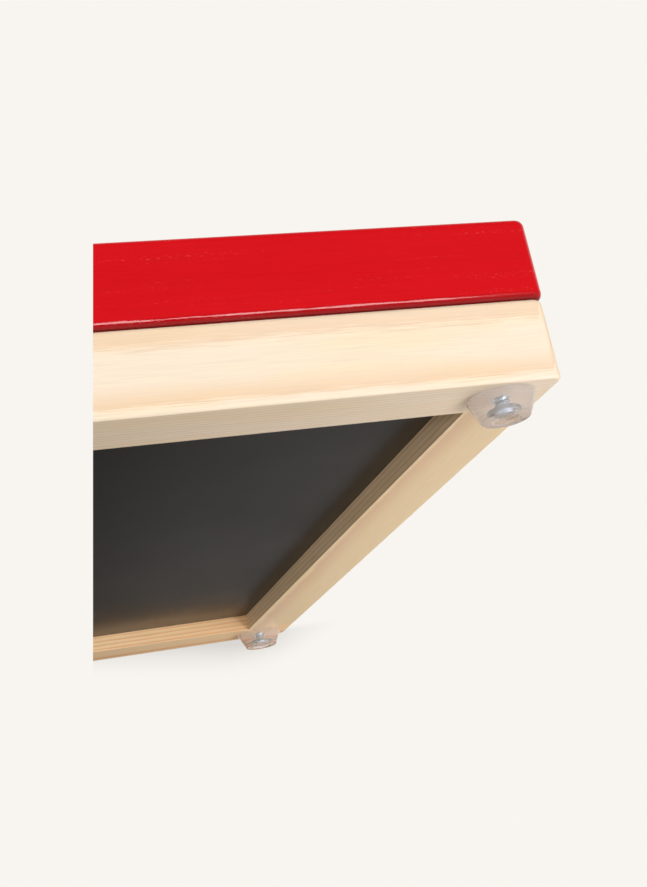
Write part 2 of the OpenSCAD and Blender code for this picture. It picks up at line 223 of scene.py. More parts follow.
def red_paint(name, hue, turn):
    """Glossy enamel brushed on planed pine. The paint is even and levels well,
    but the wood's fibres still raise it a little, so that the light on the
    rounded edges breaks up into a wavy line. Here and there a row of short
    pale dashes is mixed into the colour and raised a little. Over the lowest
    2.8 mm, in the groove where the rail meets the base frame, a painted shade
    darkens the colour."""
    shift = (37, 11, 5)
    material, tree, shader, place = new_material(
        name, turn, shift, Specular_IOR_Level=0.6, Roughness=0.09
    )
    cloud = streaks(tree, place, 0.01, 0.05)
    fibre = streaks(tree, place, 0.05, 1.8, Detail=3.0)
    swell = streaks(tree, place, 0.09, 0.9, Detail=2.0)
    # Dashes show only where a long row and a short mark fall together
    row = streaks(tree, place, 0.011, 0.5, Detail=1.0)
    dash = streaks(tree, place, 0.55, 3, Detail=2.0, Roughness=0.7)
    rows = add(tree, "MapRange", [row, 0.58, 0.7, 0, 1])
    dashes = add(tree, "MapRange", [dash, 0.6, 0.72, 0, 0.4])
    # Pale dashes, mixed into the colour below and raised a little in the bump
    pale_dashes = add(tree, "Math", [rows, dashes], operation="MULTIPLY")
    deep, light, pale = (*hue.paint, 1), (*hue.paint_light, 1), linear("#F59A8C")
    paint = add(tree, "Mix", {SHARE: cloud, FIRST: deep, SECOND: light}, MIXED, **RGBA)
    shade = add(tree, "MapRange", [fibre, 0.2, 0.8, 0.95, 1.04])
    paint = add(tree, "VectorMath", {0: paint, "Scale": shade}, operation="SCALE")
    paint = add(tree, "Mix", {SHARE: pale_dashes, FIRST: paint, SECOND: pale}, MIXED, **RGBA)
    # Painted shade: the colour darkens over the lowest 2.8 mm of the rail, in the groove
    # where it meets the base frame
    level = add(tree, "SeparateXYZ", [place], "Z")
    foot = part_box("front_top_rail")[0].z * PER_MM + shift[2]
    painted_joint_shade = add(tree, "MapRange", [level, foot, foot + 2.8, 0.25, 1.0])
    paint = add(tree, "VectorMath", {0: paint, "Scale": painted_joint_shade}, operation="SCALE")
    height = add(tree, "Math", [swell, 2.0, fibre], operation="MULTIPLY_ADD")
    height = add(tree, "Math", [height, pale_dashes], operation="ADD")
    bump = add(tree, "Bump", {"Strength": 0.6, "Distance": 0.05 * MM, "Height": height})
    feed(tree, shader, Base_Color=paint, Normal=bump)
    return material


def panel_black(name, hue):
    """Matt black lacquer rolled on hardboard: almost no gloss when seen
    square on, a soft sheen at a low angle, and a very fine roller grain."""
    material, tree, shader, place = new_material(name, Specular_IOR_Level=0.6)
    grain = add(tree, "TexNoise", {"Vector": place, "Scale": 1.4, "Detail": 3.0})
    cloud = add(tree, "TexNoise", {"Vector": place, "Scale": 0.012, "Detail": 3.0})
    dark, light = (*hue.panel, 1), (*hue.panel_light, 1)
    tone = add(tree, "Mix", {SHARE: cloud, FIRST: dark, SECOND: light}, MIXED, **RGBA)
    gloss = add(tree, "MapRange", [cloud, 0.3, 0.7, 0.3, 0.36])
    bump = add(tree, "Bump", {"Strength": 0.25, "Distance": 0.04 * MM, "Height": grain})
    feed(tree, shader, Base_Color=tone, Normal=bump, Roughness=gloss)
    return material


def soft_pvc(name, hue):
    """Clear soft PVC, injection moulded: see-through with a faint milky
    lilac cast and a satin skin."""
    material, tree, shader, place = new_material(
        name, Base_Color=(*hue.foot, 1), IOR=1.45, Transmission_Weight=0.84
    )
    satin = add(tree, "TexNoise", {"Vector": place, "Scale": 0.5})
    bump = add(tree, "Bump", {"Strength": 0.2, "Distance": 0.03 * MM, "Height": satin})
    gloss = add(tree, "MapRange", [satin, 0.3, 0.7, 0.06, 0.14])
    feed(tree, shader, Normal=bump, Roughness=gloss)
    return material


def steel(name, code, gloss, grain):
    """Steel, plated or drawn: a metal tone with fine cloudy marks that make
    the gloss uneven. gloss is its roughness and grain the marks to a mm."""
    material, tree, shader, place = new_material(name, Metallic=1.0)
    noise = {"Vector": place, "Scale": grain, "Detail": 4.0, "Roughness": 0.65}
    marks = add(tree, "TexNoise", noise)
    tone = add(tree, "MapRange", [marks, 0.25, 0.75, 0.82, 1.08])
    plain = linear(code)[:3]
    tinted = add(tree, "VectorMath", {0: plain, "Scale": tone}, operation="SCALE")
    rough = add(tree, "MapRange", [marks, 0.25, 0.75, gloss * 0.75, gloss * 1.3])
    bump = add(tree, "Bump", {"Strength": 0.15, "Distance": 0.02 * MM, "Height": marks})
    feed(tree, shader, Base_Color=tinted, Roughness=rough, Normal=bump)
    return material


def rubber(name, code, gloss, pores):
    """Moulded rubber or foam: a dull dark tone with a pebbled skin. gloss is
    its roughness and pores the number of its pits to a mm."""
    material, tree, shader, place = new_material(name, Specular_IOR_Level=0.35)
    pits = add(tree, "TexVoronoi", {"Vector": place, "Scale": pores})
    noise = {"Vector": place, "Scale": 0.03, "Detail": 4.0, "Roughness": 0.6}
    dust = add(tree, "TexNoise", noise)
    tone = add(tree, "MapRange", [dust, 0.3, 0.7, 0.85, 1.25])
    plain = linear(code)[:3]
    tinted = add(tree, "VectorMath", {0: plain, "Scale": tone}, operation="SCALE")
    bump = add(tree, "Bump", {"Strength": 0.5, "Distance": 0.12 * MM, "Height": pits})
    rough = add(tree, "MapRange", [dust, 0.3, 0.7, gloss - 0.06, gloss + 0.08])
    feed(tree, shader, Base_Color=tinted, Roughness=rough, Normal=bump)
    return material


def birch_ply(name, look):
    """Birch plywood, sanded: a pale face veneer with fine fibres, and on the
    edges the plies, light where the grain runs along and darker where its
    ends show."""
    material, tree, shader, place = new_material(
        name, Specular_IOR_Level=0.35, Roughness=0.5
    )
    # One round of the ramp is two plies: a light one, a glue line, a dark one
    level = add(tree, "SeparateXYZ", [place], "Z")
    count = 0.5 / look.ply_step / PER_MM
    ply = add(tree, "Math", [level, count], operation="MULTIPLY")
    part = add(tree, "Math", [ply], operation="FRACT")
    glue = linear("#8E6A42")
    layers = [
        (0, linear("#E7CDA2")),
        (0.46, linear("#E3C798")),
        (0.5, glue),
        (0.54, linear("#B98F5E")),
        (0.96, linear("#BF9665")),
        (1, glue),
    ]
    plies = add(tree, "ValToRGB", [part], stops=layers)
    normal = add(tree, "TexCoord", out="Normal")
    up = add(tree, "SeparateXYZ", [normal], "Z")
    flat = add(tree, "Math", [up], operation="ABSOLUTE")
    face = add(tree, "Math", [flat, 0.7], operation="GREATER_THAN")
    fibre = streaks(tree, place, 0.05, 1.6, Detail=4.0, Roughness=0.6)
    swirl = streaks(tree, place, 0.004, 0.03, Detail=3.0)
    pale, tan = linear("#EBD3AB"), linear("#DDBB88")
    veneer = add(tree, "Mix", {SHARE: swirl, FIRST: pale, SECOND: tan}, MIXED, **RGBA)
    tone = add(tree, "Mix", {SHARE: face, FIRST: plies, SECOND: veneer}, MIXED, **RGBA)
    fleck = add(tree, "MapRange", [fibre, 0.25, 0.75, 0.9, 1.06])
    tone = add(tree, "VectorMath", {0: tone, "Scale": fleck}, operation="SCALE")
    bump = add(tree, "Bump", {"Strength": 0.3, "Distance": 0.05 * MM, "Height": fibre})
    feed(tree, shader, Base_Color=tone, Normal=bump)
    return material


def beech(name, turn):
    """Beech dowel rod, turned: an even light brown with short fine flecks."""
    material, tree, shader, place = new_material(
        name, turn, Specular_IOR_Level=0.35, Roughness=0.55
    )
    fleck = streaks(tree, place, 0.5, 5, Detail=3.0)
    dark, light = linear("#C79A6B"), linear("#D9B385")
    tone = add(tree, "Mix", {SHARE: fleck, FIRST: dark, SECOND: light}, MIXED, **RGBA)
    bump = add(tree, "Bump", {"Strength": 0.3, "Distance": 0.05 * MM, "Height": fleck})
    feed(tree, shader, Base_Color=tone, Normal=bump)
    return material


def finish_node(name, material):
    """Puts a material on every slot of a solid that keeps its shape."""
    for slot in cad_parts[name].material_slots:
        slot.material = material


# ---------- computed surfaces ----------


def round_off(points, radii, steps):
    """A closed outline with its corners turned into arcs: each arc's middle
    lies on the corner's bisector, and its points swing evenly from the one
    side's tangent point to the other's. steps is the points to an arc."""
    p = np.asarray(points, float)
    r = np.asarray(radii, float)[:, None]
    before = np.roll(p, 1, axis=0) - p
    after = np.roll(p, -1, axis=0) - p
    before /= np.linalg.norm(before, axis=1)[:, None]
    after /= np.linalg.norm(after, axis=1)[:, None]
    half = np.arccos(np.clip((before * after).sum(1), -1, 1))[:, None] / 2
    middle = before + after
    middle = p + middle / np.linalg.norm(middle, axis=1)[:, None] * r / np.sin(half)
    start = p + before * r / np.tan(half) - middle
    end = p + after * r / np.tan(half) - middle
    # A corner that hardly turns keeps a sweep that can be divided by
    sweep = np.maximum(np.pi - 2 * half, 1e-6)[:, None]
    s = np.linspace(0, 1, steps)[None, :, None]
    swing = (
        np.sin((1 - s) * sweep) * start[:, None] + np.sin(s * sweep) * end[:, None]
    ) / np.sin(sweep)
    return (middle[:, None] + swing).reshape(-1, 2)


def skin(name, grid, material, loop=False, capped=False, sharp=30):
    """Makes a mesh object of a grid of points: four-sided faces between
    neighbouring rows, each row closed on itself. loop joins the last row to
    the first, and capped closes both ends with a face of their own. Points
    that coincide, as at a pole, are merged, and faces are turned outwards.
    Edges sharper than sharp degrees stay hard."""
    rows, cols = grid.shape[:2]
    number = np.arange(rows * cols).reshape(rows, cols)
    here = number if loop else number[:-1]
    there = np.roll(number, -1, axis=0) if loop else number[1:]
    quads = np.stack(
        [here, np.roll(here, -1, axis=1), np.roll(there, -1, axis=1), there], axis=-1
    ).reshape(-1, 4)
    faces = quads.tolist()
    if capped:
        faces += [number[0][::-1].tolist(), number[-1].tolist()]
    mesh = bpy.data.meshes.new(name)
    mesh.from_pydata(grid.reshape(-1, 3).tolist(), [], faces)
    mesh.update()
    work = bmesh.new()
    work.from_mesh(mesh)
    bmesh.ops.remove_doubles(work, verts=work.verts, dist=WELD)
    bmesh.ops.dissolve_degenerate(work, edges=work.edges, dist=NO_LENGTH)
    bmesh.ops.recalc_face_normals(work, faces=work.faces)
    work.to_mesh(mesh)
    work.free()
    mesh.polygons.foreach_set("use_smooth", np.ones(len(mesh.polygons), bool))
    mesh.set_sharp_from_angle(angle=np.radians(sharp))
    mesh.materials.append(material)
    piece = bpy.data.objects.new(name, mesh)
    bpy.context.scene.collection.objects.link(piece)
    return piece


def middle_of(node):
    """A node's middle in plan, and its lowest and highest level."""
    low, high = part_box(node)
    return (low.x + high.x) / 2, (low.y + high.y) / 2, low.z, high.z


def coil(centre, low, high, look):
    """Grid of a closed and ground compression spring. The wire's centre runs
    round a circle and climbs little more than one wire in each end turn and
    evenly between; a small circle round that path is the wire, and both ends
    are cut flat at the levels that the spring stands between."""
    wire, length = look.wire, high - low
    turns = look.working_turns + 2
    step = wire + look.end_gap
    t = np.linspace(0, turns, int(turns * STEPS_A_TURN) + 1)[:, None]
    rise = np.interp(t, [0, 1, turns - 1, turns], [0, step, length - step, length])
    b = np.linspace(0, TURN, WIRE_AROUND, endpoint=False)[None, :]
    r = look.coil / 2 + wire / 2 * np.cos(b)
    z = np.clip(rise + wire / 2 * np.sin(b), 0, length)
    x = centre[0] + r * np.cos(TURN * t)
    y = centre[1] + r * np.sin(TURN * t)
    return np.stack([x, y, low + z], axis=-1)


def moulded_foot(centre, top, seat, look):
    """Grid of a foot: a cone with its narrow end down, a counterbore for the
    screw's head and a hole for its shank, every edge softly rounded, turned
    about the screw's axis. The soft plastic is squeezed on to the wood, the
    head's side and seat, and the thread, so it reaches a little into each."""
    squeeze = look.squeeze
    tip, wide, bore = look.foot_tip / 2, look.foot_wide / 2, look.foot_bore / 2
    head = look.head / 2 - squeeze
    hole = look.shank / 2 - look.thread_depth - squeeze
    rim, high, deep = look.foot_rim, top + squeeze, seat - squeeze
    # The bore is straight over a share of its depth, then narrows to the head
    grip, straight = seat - look.head_tall, 0.6
    outline = [
        (hole, deep),
        (head, deep),
        (head, grip),
        (bore, straight * grip),
        (bore, 0),
        (tip, 0),
        (wide, top - rim),
        (wide, high),
        (hole, high),
    ]
    radii = np.array([0.12, 0.2, 0.3, 0.2, 0.3, 0.8, 0.5, 0.02, 0.12]) * MM
    profile = round_off(outline, radii, steps=6)
    a = np.linspace(0, TURN, AROUND, endpoint=False)[None, :]
    r, z = profile[:, :1], profile[:, 1:]
    x, y = centre[0] + r * np.cos(a), centre[1] + r * np.sin(a)
    return np.stack([x, y, z + 0 * a], axis=-1)


def pan_screw(centre, low, high, look):
    """Grid of a pan-head wood screw, head down. Its outline, turned about the
    axis, is the flat of the head, a quarter round, the head's side, its seat
    and the shank to the point. A thread is a ridge on the shank that climbs
    with the angle, and the cross recess sinks the flat where a point lies
    inside either bar of the cross."""
    head, shank, cone = look.head / 2, look.shank / 2, look.shank
    dome, edge, dot = 1.3 * MM, 0.2 * MM, 0.02 * MM
    seat = low + look.head_tall
    q = np.linspace(0, np.pi / 2, 9)
    flat = np.linspace(dot, head - dome, 26)
    run = np.linspace(seat + edge, high - cone, 96)
    tip = np.linspace(0.02, 1, 20)
    outline = [
        (flat, np.full_like(flat, low)),
        (head - dome + dome * np.sin(q), low + dome * (1 - np.cos(q))),
        (head - edge + edge * np.cos(q), seat - edge + edge * np.sin(q)),
        ([shank + edge], [seat]),
        (np.full_like(run, shank), run),
        (shank + (dot - shank) * tip, high - cone + cone * tip),
    ]
    a = np.linspace(0, TURN, AROUND, endpoint=False)[None, :]
    r, z = (np.concatenate(parts)[:, None] + 0 * a for parts in zip(*outline))
    # The ridge takes up three fifths of the thread's pitch
    crest = np.abs((z / look.thread_pitch - a / TURN) % 1 - 0.5)
    ridge = np.clip(1 - crest / 0.3, 0, 1)
    core = np.where(z > seat + edge / 2, look.thread_depth, 0)
    r = np.maximum(r - core * (1 - ridge), dot)
    x, y = r * np.cos(a), r * np.sin(a)
    # A bar of the cross: half its width, its reach, and the width of its flank
    wide, far, flank = 0.075 * look.head, 0.28 * look.head, 0.25 * MM
    bars = [np.minimum(wide - abs(u), far - abs(v)) for u, v in ((x, y), (y, x))]
    sunk = np.clip(np.maximum(*bars) / flank, 0, 1) * look.recess
    on_flat = z < low + 0.1 * MM
    z = np.where(on_flat, z + sunk, z)
    return np.stack([centre[0] + x, centre[1] + y, z], axis=-1)


def ribbed_sheet(low, high, look):
    """Grid of the mat. Every row is the outline of one lengthwise slice: flat
    below, its top at the height that the ribs' rounded section has there, and
    as long as the sheet's round corners allow. The ribs' flanks are half a
    cosine wave, and the cut ends are eased by a quarter round."""
    span, deep, middle = (high.x - low.x) / 2, (high.y - low.y) / 2, (low + high) / 2
    count = int((2 * deep - look.rib_foot) / look.rib_step)
    ribs = (np.arange(count + 1) - count / 2) * look.rib_step
    half, flank = look.rib_foot / 2, 0.17 * look.rib_foot
    # Rows over one rib, in shares of its half width, closest on its flanks
    across = np.array([-1.12, -1, -0.93, -0.84, -0.76, -0.66, 0]) * half
    across = np.concatenate([across, -across[-2::-1]])
    y = (ribs[:, None] + across[None, :]).ravel()
    # More rows where the sheet's corners turn, and none twice or past its edge
    corner = np.linspace(0, np.pi / 2, 10)
    rim = deep - look.mat_corner * (1 - np.sin(corner))
    y = np.unique(np.round(np.concatenate([y, rim, -rim]), 7))
    y = y[np.abs(y) <= deep + NO_LENGTH]
    near = np.abs(y[:, None] - ribs[None, :]).min(1)
    slope = np.clip((half - near) / flank, 0, 1)
    ease = 0.5 - 0.5 * np.cos(np.pi * slope)
    top = high.z - look.rib_tall + look.rib_tall * ease
    out = np.clip((np.abs(y) - (deep - look.mat_corner)) / look.mat_corner, 0, 1)
    length = span - look.mat_corner * (1 - np.sqrt(1 - out**2))
    # The cut end from its foot, a whole metre down and so cut off at the
    # underside, round its eased edge and a little way along the top
    soft, foot = 0.5 * MM, 1.0
    q = np.linspace(0, np.pi / 2, 5)
    inset = np.concatenate([[0], soft * (1 - np.cos(q)), [3 * soft, 30 * soft]])
    drop = np.concatenate([[foot], soft * (1 - np.sin(q)), [0, 0]])
    left = inset[None, :] - length[:, None]
    x = np.concatenate([left, -left[:, ::-1]], axis=1)
    drops = np.concatenate([drop, drop[::-1]])[None, :]
    z = np.maximum(top[:, None] - drops, low.z)
    return np.stack([middle.x + x, middle.y + y[:, None] + 0 * x, z], axis=-1)


# ---------- stage ----------


def stage_sheet(name, corners, material):
    """A four-cornered sheet that belongs to the stage."""
    mesh = bpy.data.meshes.new(name)
    mesh.from_pydata([tuple(c) for c in corners], [], [(0, 1, 2, 3)])
    mesh.materials.append(material)
    sheet = bpy.data.objects.new(name, mesh)
    bpy.context.scene.collection.objects.link(sheet)


def one_sided(name, build):
    """A stage material that only the camera sees, and only from the front:
    to light and to every other ray it isn't there. build makes its shader
    and says how much of it covers what lies behind."""
    material = bpy.data.materials.new(name)
    material.use_nodes = True
    tree = material.node_tree
    tree.nodes.clear()
    back = add(tree, "NewGeometry", out="Backfacing")
    front = add(tree, "Math", [1.0, back], operation="SUBTRACT")
    eye = add(tree, "LightPath", out="Is Camera Ray")
    seen = add(tree, "Math", [front, eye], operation="MULTIPLY")
    clear = add(tree, "BsdfTransparent")
    shader, share = build(tree)
    seen = add(tree, "Math", [seen, share], operation="MULTIPLY")
    mixed = add(tree, "MixShader", [seen, clear, shader])
    add(tree, "OutputMaterial", [mixed])
    return material


def floor_shader(tree):
    """Pale matt floor that fades out into the backdrop's tone far away."""
    shader = add(tree, "BsdfDiffuse", [linear(PALE)])
    at = add(tree, "TexCoord", out="Object")
    far = add(tree, "VectorMath", [at], "Value", operation="LENGTH")
    share = add(tree, "MapRange", [far, 0.5, 1.5, 1.0, 0.0])
    return shader, share


def flat_shader(tree):
    """Pale flat that shows its own colour whatever light falls on it."""
    return add(tree, "Emission", [linear(PALE), 1.0]), 1.0


def shadow_shader(tree):
    """Pale sheet with a painted soft grey shadow behind the board's back
    edge, drawn by emission rather than cast by a lamp. It falls off with the
    square of the distance that is left, reaches further back towards the
    corners and fades beside them."""
    edge, back = CAD_BOX[1][:2]
    # How dark it gets, how fast it reaches further back, and from where on
    deepest, slant, straight = 0.26, 0.75, edge - 0.101
    at = add(tree, "TexCoord", out="Object")
    parts = add(tree, "SeparateXYZ", [at]).node.outputs
    side = add(tree, "Math", [parts["X"]], operation="ABSOLUTE")
    reach = add(tree, "Math", [side, straight], operation="MAXIMUM")
    behind = add(tree, "Math", [reach, -slant, parts["Y"]], operation="MULTIPLY_ADD")
    near = back - 0.039 - slant * straight
    left = add(tree, "MapRange", [behind, near, near + 0.11, 1.0, 0.0])
    fall = add(tree, "Math", [left, 2.0], operation="POWER")
    rise = [parts["Y"], back - 0.019, back - 0.001, 0.0, deepest]
    start = add(tree, "MapRange", rise)
    ends = [side, edge - 0.029, edge + 0.037, 1.0, 0.0]
    fade = add(tree, "MapRange", ends, interpolation_type="SMOOTHSTEP")
    dark = add(tree, "Math", [start, fall], operation="MULTIPLY")
    dark = add(tree, "Math", [dark, fade], operation="MULTIPLY")
    level = add(tree, "Math", [1.0, dark], operation="SUBTRACT")
    return add(tree, "Emission", [linear(PALE), level]), 1.0


def lamp(name, at, towards, wide, high, watts, mirrored=False):
    """A soft rectangular lamp, not seen by the camera. Gloss shows it only if
    it is mirrored."""
    light = bpy.data.lights.new(name, "AREA")
    light.shape = "RECTANGLE"
    light.size, light.size_y, light.energy = wide, high, watts
    holder = bpy.data.objects.new(name, light)
    holder.location = at
    aim = Vector(towards) - Vector(at)
    holder.rotation_euler = aim.to_track_quat("-Z", "Y").to_euler()
    holder.visible_camera = False
    holder.visible_glossy = mirrored
    bpy.context.scene.collection.objects.link(holder)


# ---------- what a user may change ----------


def length(name, description, default):
    """A length, shown in the scene's unit."""
    return bpy.props.FloatProperty(
        name=name,
        description=description,
        default=default,
        min=0.0,
        unit="LENGTH",
        precision=4,
    )


def colour(name, description, code):
    """A colour, given as sRGB hex."""
    return bpy.props.FloatVectorProperty(
        name=name,
        description=description,
        default=linear(code)[:3],
        subtype="COLOR",
        size=3,
        min=0.0,
        max=1.0,
    )


class SpringboardSizes(bpy.types.PropertyGroup):
    """Sizes of the pieces that are made here."""

    wire: length("Wire", "Diameter of the springs' wire", 2.5 * MM)
    coil: length("Coil", "Diameter of a spring, wire centre to centre", 24 * MM)
    end_gap: length("End gap", "Gap between a spring's last two turns", 0.1 * MM)
    working_turns: bpy.props.FloatProperty(
        name="Working turns",
        description="Turns of a spring between its two closed ones",
        default=3.5,
        min=1.0,
    )
    foot_wide: length("Foot, wide end", "Foot's diameter on the wood", 23 * MM)
    foot_tip: length("Foot, tip", "Foot's diameter on the floor", 16.2 * MM)
    foot_rim: length("Foot rim", "Height of a foot's straight rim", 0.8 * MM)
    foot_bore: length("Counterbore", "Diameter of the bore for the head", 9.6 * MM)
    squeeze: length("Squeeze", "How far soft plastic is squeezed on", 0.05 * MM)
    head: length("Head", "Diameter of a screw's head", 8 * MM)
    head_tall: length("Head height", "Height of a screw's head", 2.6 * MM)
    shank: length("Shank", "Diameter of a screw over its thread", 4 * MM)
    thread_pitch: length("Pitch", "Climb of the thread in one turn", 1.5 * MM)
    thread_depth: length("Thread depth", "Depth of the thread", 0.35 * MM)
    recess: length("Recess", "Depth of the cross recess", 1.4 * MM)
    rib_step: length("Rib step", "Distance from rib to rib", 6 * MM)
    rib_foot: length("Rib width", "Width of a rib at its foot", 3.6 * MM)
    rib_tall: length("Rib height", "Height of a rib over the sheet", 1.5 * MM)
    mat_corner: length("Mat corner", "Plan radius of the mat's corners", 10 * MM)
    ring_step: length("Ring step", "Distance from growth ring to ring", 2.1 * MM)
    ply_step: length("Ply", "Thickness of one ply of the deck", 1.5 * MM)


class SpringboardColours(bpy.types.PropertyGroup):
    """Colours that set the board's look."""

    paint: colour("Paint", "Red enamel of the upper frame", "#CC0512")
    paint_light: colour("Paint, light", "Where the enamel is thinner", "#D5101A")
    panel: colour("Panel", "Black lacquer of the bottom panel", "#110D0F")
    panel_light: colour("Panel, light", "Where the lacquer is greyer", "#161213")
    foot: colour("Feet", "Clear plastic of the feet", "#E8E5EA")


class SpringboardStage(bpy.types.PropertyGroup):
    """The camera, and how bright it is round the board."""

    camera_at: bpy.props.FloatVectorProperty(
        name="Camera",
        description="Place of the camera",
        default=(0.0856, -0.5639, -0.1274),
        subtype="TRANSLATION",
        precision=4,
    )
    camera_turn: bpy.props.FloatVectorProperty(
        name="Camera turn",
        description="Turn of the camera",
        default=np.radians((107.3858, 11.2961, -15.6326)).tolist(),
        subtype="EULER",
        precision=4,
    )
    lens: bpy.props.FloatProperty(
        name="Lens",
        description="Focal length on a 36 mm sensor",
        default=56.86,
        unit="CAMERA",
    )
    ambient: bpy.props.FloatProperty(
        name="Ambient",
        description="Even light from all round",
        default=0.25,
        min=0.0,
    )
    front_gloss: bpy.props.FloatProperty(
        name="Front gloss",
        description="Brightness that gloss sees on the camera's side",
        default=0.12,
        min=0.0,
    )
    low_gloss: bpy.props.FloatVectorProperty(
        name="Low gloss",
        description="Brightness that gloss sees below the horizon, deep down "
        "at the left and near the horizon at the right",
        default=(0.0, 0.4),
        size=2,
        min=0.0,
    )
    left_margin: bpy.props.FloatProperty(
        name="Left margin",
        description="Share of the view's width that a pale flat keeps blank",
        default=0.1437,
        subtype="FACTOR",
        min=0.0,
        max=1.0,
    )


# ---------- operators ----------


class SPRINGBOARD_OT_stage(bpy.types.Operator):
    """Camera, backdrop, floor and soft lamps"""

    bl_idname = "springboard.stage"
    bl_label = "Stage"

    def execute(self, context):
        scene, look = context.scene, context.scene.springboard_stage
        lens = bpy.data.cameras.new("camera")
        lens.sensor_width, lens.lens = SENSOR, look.lens
        lens.clip_start, lens.clip_end = 0.004, 50.0
        camera = bpy.data.objects.new("camera", lens)
        camera.location, camera.rotation_euler = look.camera_at, look.camera_turn
        scene.collection.objects.link(camera)
        scene.camera = camera
        scene.view_settings.view_transform = "Standard"
        self.backdrop(scene, look)
        self.floor()
        self.back_shadow()
        self.left_flat(look)
        self.lamps()
        return {"FINISHED"}

    def lamps(self):
        """A wide key lamp in front, a small one that gives the front edges
        their shine, three that light the underside, and two above."""
        lamp("key lamp", (0.3, -1.8, -0.12), (0.12, 0, 0.04), 2.6, 0.6, watts=19.5)
        edge_at, edge_to = (0.65, -1.8, -0.1), (0.25, -0.19, 0.04)
        lamp("edge lamp", edge_at, edge_to, 0.7, 0.5, watts=7, mirrored=True)
        lamp("under lamp", (0.5, -0.08, -0.25), (0.2, -0.06, 0), 0.8, 0.15, watts=1.45)
        lamp("left lamp", (-0.4, -0.45, -0.08), (0.27, 0, 0.01), 0.3, 0.1, watts=0.5)
        far_at, far_to = (0.0, -0.02, -0.012), (0.2, 0.17, 0.015)
        lamp("far lamp", far_at, far_to, 0.2, 0.02, watts=0.045)
        lamp("top lamp", (-0.3, 0.1, 1.9), (0, 0, 0.05), 1.6, 1.2, watts=26)
        lamp("back lamp", (-0.9, 1.8, 0.7), (0, 0, 0.03), 1.2, 0.8, watts=14)

    def backdrop(self, scene, look):
        """The world: pale to the camera and through clear plastic, and a
        weaker even light for everything else. In gloss it is pale at the back,
        less so high up, and dim on the camera's side. Below the horizon it is
        dim and brightens to the right, near the horizon and straight down, as
        round a table by a window."""
        world = bpy.data.worlds.new("studio")
        world.use_nodes = True
        scene.world = world
        tree = world.node_tree
        tree.nodes.clear()
        way = add(tree, "TexCoord", out="Generated")
        parts = add(tree, "SeparateXYZ", [way]).node.outputs
        behind = [parts["Y"], -0.3, 0.4, look.front_gloss, 1.0]
        high = add(tree, "MapRange", behind, interpolation_type="SMOOTHSTEP")
        ceiling = add(tree, "MapRange", [parts["Z"], 0.25, 0.8, 1.0, 0.45])
        high = add(tree, "Math", [high, ceiling], operation="MULTIPLY")
        dim, full = look.low_gloss
        slant = (2, 0, 2)
        tilt = add(tree, "VectorMath", [way, slant], "Value", operation="DOT_PRODUCT")
        low = add(tree, "MapRange", [tilt, -0.3, 0.1, dim, full])
        deep = add(tree, "MapRange", [parts["Z"], -0.45, -0.8, 0.0, full])
        low = add(tree, "Math", [low, deep], operation="MAXIMUM")
        above = add(tree, "MapRange", [parts["Z"], -0.1, 0.0, 0.0, 1.0])
        level = add(tree, "Mix", {"Factor": above, "A": low, "B": high})
        path = add(tree, "LightPath").node.outputs
        mirrored = path["Is Glossy Ray"]
        gloss = add(tree, "Math", [mirrored, level], operation="MULTIPLY")
        direct = [path["Is Camera Ray"], path["Is Transmission Ray"]]
        clear = add(tree, "Math", direct, operation="MAXIMUM")
        pale = add(tree, "Math", [gloss, clear], operation="MAXIMUM")
        other = add(tree, "Math", [1.0, mirrored], operation="SUBTRACT")
        other = add(tree, "Math", [other, clear], operation="SUBTRACT", use_clamp=True)
        lit = add(tree, "Math", [other, look.ambient], operation="MULTIPLY")
        backdrop = add(tree, "Background", [linear(PALE), pale])
        even = add(tree, "Background", [linear("#FFF3E4"), lit])
        both = add(tree, "AddShader", [backdrop, even])
        add(tree, "OutputWorld", [both])

    def floor(self):
        """A pale floor at the feet's level, not there when seen from below,
        so that the underside can be looked at and lit."""
        far = 2.5
        corners = [(-far, -far, 0), (far, -far, 0), (far, far, 0), (-far, far, 0)]
        stage_sheet("floor", corners, one_sided("matt floor", floor_shader))

    def back_shadow(self):
        """A sheet behind the board that carries its painted shadow, a little
        over the rails' lower faces. It faces down, so that only a view from below
        shows it."""
        side, back = CAD_BOX[1][0] + 0.059, CAD_BOX[1][1]
        front, back = back - 0.019, back + 0.191
        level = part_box("back_base_rail")[0].z + 0.5 * MM
        plan = [(-side, back), (side, back), (side, front), (-side, front)]
        corners = [(x, y, level) for x, y in plan]
        stage_sheet("shadow sheet", corners, one_sided("soft shadow", shadow_shader))

    def left_flat(self, look):
        """A small pale flat just before the lens that ends the view on the
        left."""
        near = 0.012
        wide = near * SENSOR / look.lens * ASPECT
        edge = (look.left_margin - 0.5) * wide
        corners = [(-wide, -wide), (edge, -wide), (edge, wide), (-wide, wide)]
        turn, at = Euler(look.camera_turn).to_matrix(), Vector(look.camera_at)
        places = [at + turn @ Vector((x, y, -near)) for x, y in corners]
        stage_sheet("left flat", places, one_sided("pale flat", flat_shader))


